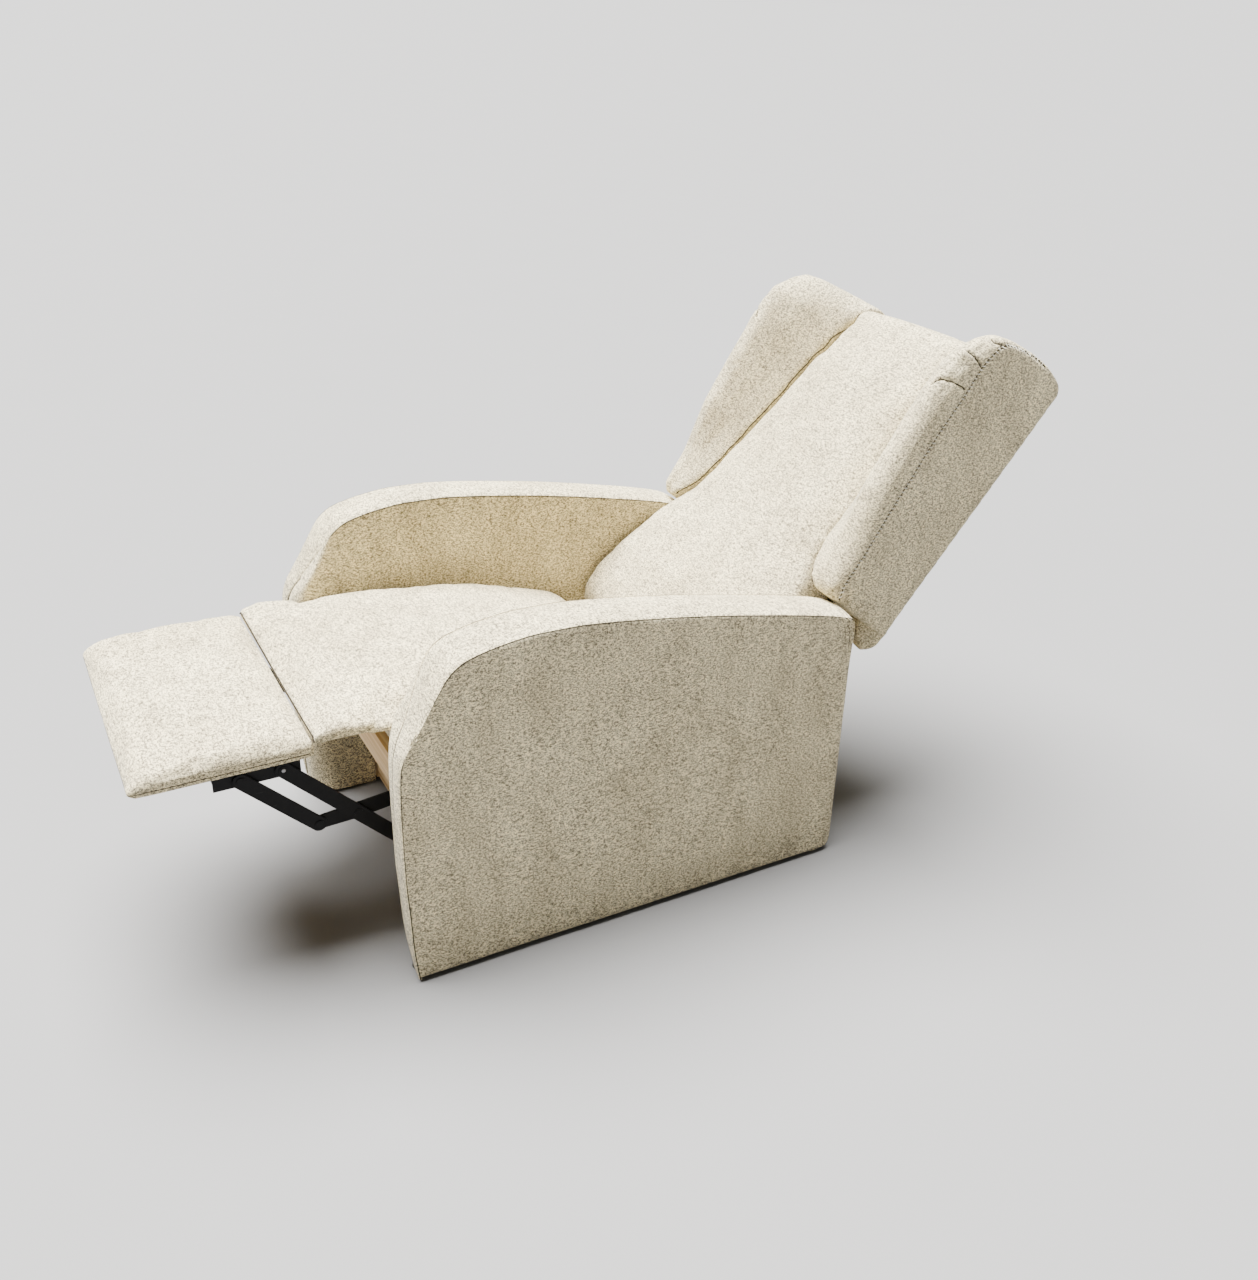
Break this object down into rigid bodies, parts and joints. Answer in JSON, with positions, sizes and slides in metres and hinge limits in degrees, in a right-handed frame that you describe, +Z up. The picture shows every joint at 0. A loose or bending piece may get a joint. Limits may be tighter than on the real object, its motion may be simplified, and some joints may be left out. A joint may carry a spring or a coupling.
{
  "type": "recliner armchair",
  "caption": "Fabric armchair with wings and curved arms, whose back reclines and whose footrest folds out on steel bars",
  "frame": {"origin": "on the floor below the middle of the chair as it stands open", "axes": "+X to the sitter's left, -Y to the front, where the footrest is, +Z up"},
  "size_m": [0.7, 1.672, 0.9512],
  "materials": {
    "fabric": "woven, soft matt, mottled",
    "pine": "bare sawn",
    "plywood": "bare",
    "black_steel": "semi-gloss black",
    "spring_steel": "drawn wire",
    "plastic": "moulded"
  },
  "bodies": {
    "base": {"arm_outer_cover_left": "fabric", "arm_outer_cover_right": "fabric", "arm_inner_cover_left": "fabric", "arm_inner_cover_right": "fabric", "arm_strip_left": "fabric", "arm_strip_right": "fabric", "arm_front_post_left": "pine", "arm_front_post_right": "pine", "arm_rear_post_left": "pine", "arm_rear_post_right": "pine", "arm_bottom_rail_left": "pine", "arm_bottom_rail_right": "pine", "arm_top_rail_left": "pine", "arm_top_rail_right": "pine", "arm_glide_front_left": "plastic", "arm_glide_front_right": "plastic", "arm_glide_rear_left": "plastic", "arm_glide_rear_right": "plastic", "base_plate_left": "black_steel", "base_plate_right": "black_steel", "base_front_rail": "pine", "base_rear_rail": "pine"},
    "front_swing_bars": {"front_swing_bar_left": "black_steel", "front_swing_bar_right": "black_steel"},
    "rear_swing_bars": {"rear_swing_bar_left": "black_steel", "rear_swing_bar_right": "black_steel"},
    "back_control_bars": {"back_control_bar_left": "black_steel", "back_control_bar_right": "black_steel"},
    "seat": {"seat_side_plate_left": "black_steel", "seat_side_plate_right": "black_steel", "seat_side_rail_left": "pine", "seat_side_rail_right": "pine", "seat_front_rail": "pine", "seat_rear_rail": "pine", "seat_springs": "spring_steel", "seat_cushion": "fabric"},
    "knee": {"knee_flap": "fabric"},
    "footrest_main_bars": {"footrest_main_bar_left": "black_steel", "footrest_main_bar_right": "black_steel"},
    "footrest_follow_bars": {"footrest_follow_bar_left": "black_steel", "footrest_follow_bar_right": "black_steel"},
    "footrest_upper_bars": {"footrest_upper_bar_left": "black_steel", "footrest_upper_bar_right": "black_steel"},
    "footrest_lower_bars": {"footrest_lower_bar_left": "black_steel", "footrest_lower_bar_right": "black_steel"},
    "footrest": {"footrest_board": "plywood", "footrest_pad": "fabric", "footrest_angle_left": "black_steel", "footrest_angle_right": "black_steel"},
    "back": {"back_pad": "fabric", "back_rear_panel": "fabric", "back_springs": "spring_steel", "back_top_rail": "pine", "back_bottom_rail": "pine", "back_wing_left": "fabric", "back_wing_right": "fabric", "back_post_left": "pine", "back_post_right": "pine", "back_bracket_left": "black_steel", "back_bracket_right": "black_steel"}
  },
  "joints": [
    {"name": "recline", "type": "hinge", "parent": "base", "child": "front_swing_bars", "pos_m": [0, -0.17595, 0.14337], "axis": [-1, 0, 0], "range_deg": [0, 39]},
    {"name": "seat_hinge", "type": "hinge", "parent": "front_swing_bars", "child": "seat", "pos_m": [0, -0.21903, 0.25], "axis": [-1, 0, 0], "range_deg": [-39, 0]},
    {"name": "rear_swing", "type": "hinge", "parent": "base", "child": "rear_swing_bars", "pos_m": [0, 0.12405, 0.10137], "axis": [-1, 0, 0], "range_deg": [0, 39]},
    {"name": "back_control", "type": "hinge", "parent": "base", "child": "back_control_bars", "pos_m": [0, 0.23247, 0.07], "axis": [-1, 0, 0], "range_deg": [0, 27.62]},
    {"name": "back_hinge", "type": "hinge", "parent": "seat", "child": "back", "pos_m": [0, 0.18097, 0.29], "axis": [1, 0, 0], "range_deg": [0, 28]},
    {"name": "footrest_fold", "type": "hinge", "parent": "seat", "child": "footrest_main_bars", "pos_m": [0, -0.35676, 0.30253], "axis": [1, 0, 0], "range_deg": [0, 91.1]},
    {"name": "follow_bar_hinge", "type": "hinge", "parent": "seat", "child": "footrest_follow_bars", "pos_m": [0, -0.29754, 0.2397], "axis": [1, 0, 0], "range_deg": [0, 91.2]},
    {"name": "upper_bar_hinge", "type": "hinge", "parent": "footrest_main_bars", "child": "footrest_upper_bars", "pos_m": [0, -0.49915, 0.28471], "axis": [1, 0, 0], "range_deg": [-92.07, 0]},
    {"name": "lower_bar_hinge", "type": "hinge", "parent": "footrest_main_bars", "child": "footrest_lower_bars", "pos_m": [0, -0.5631, 0.28227], "axis": [1, 0, 0], "range_deg": [-91.79, 0]},
    {"name": "footrest_hinge", "type": "hinge", "parent": "footrest_upper_bars", "child": "footrest", "pos_m": [0, -0.60863, 0.39676], "axis": [1, 0, 0], "range_deg": [0, 90.97]},
    {"name": "knee_hinge", "type": "hinge", "parent": "seat", "child": "knee", "pos_m": [0, -0.46503, 0.418], "axis": [1, 0, 0], "range_deg": [0, 90]}
  ],
  "couplings": [
    {"joint": "seat_hinge", "follows": "recline", "ratio": -1},
    {"joint": "rear_swing", "follows": "recline", "ratio": 1},
    {"joint": "back_control", "follows": "recline", "ratio": 0.7081},
    {"joint": "back_hinge", "follows": "recline", "ratio": 0.71795},
    {"joint": "follow_bar_hinge", "follows": "footrest_fold", "ratio": 1.0011},
    {"joint": "upper_bar_hinge", "follows": "footrest_fold", "ratio": -1.0106},
    {"joint": "lower_bar_hinge", "follows": "footrest_fold", "ratio": -1.0076},
    {"joint": "footrest_hinge", "follows": "footrest_fold", "ratio": 0.99858},
    {"joint": "knee_hinge", "follows": "footrest_fold", "ratio": 0.98796}
  ]
}
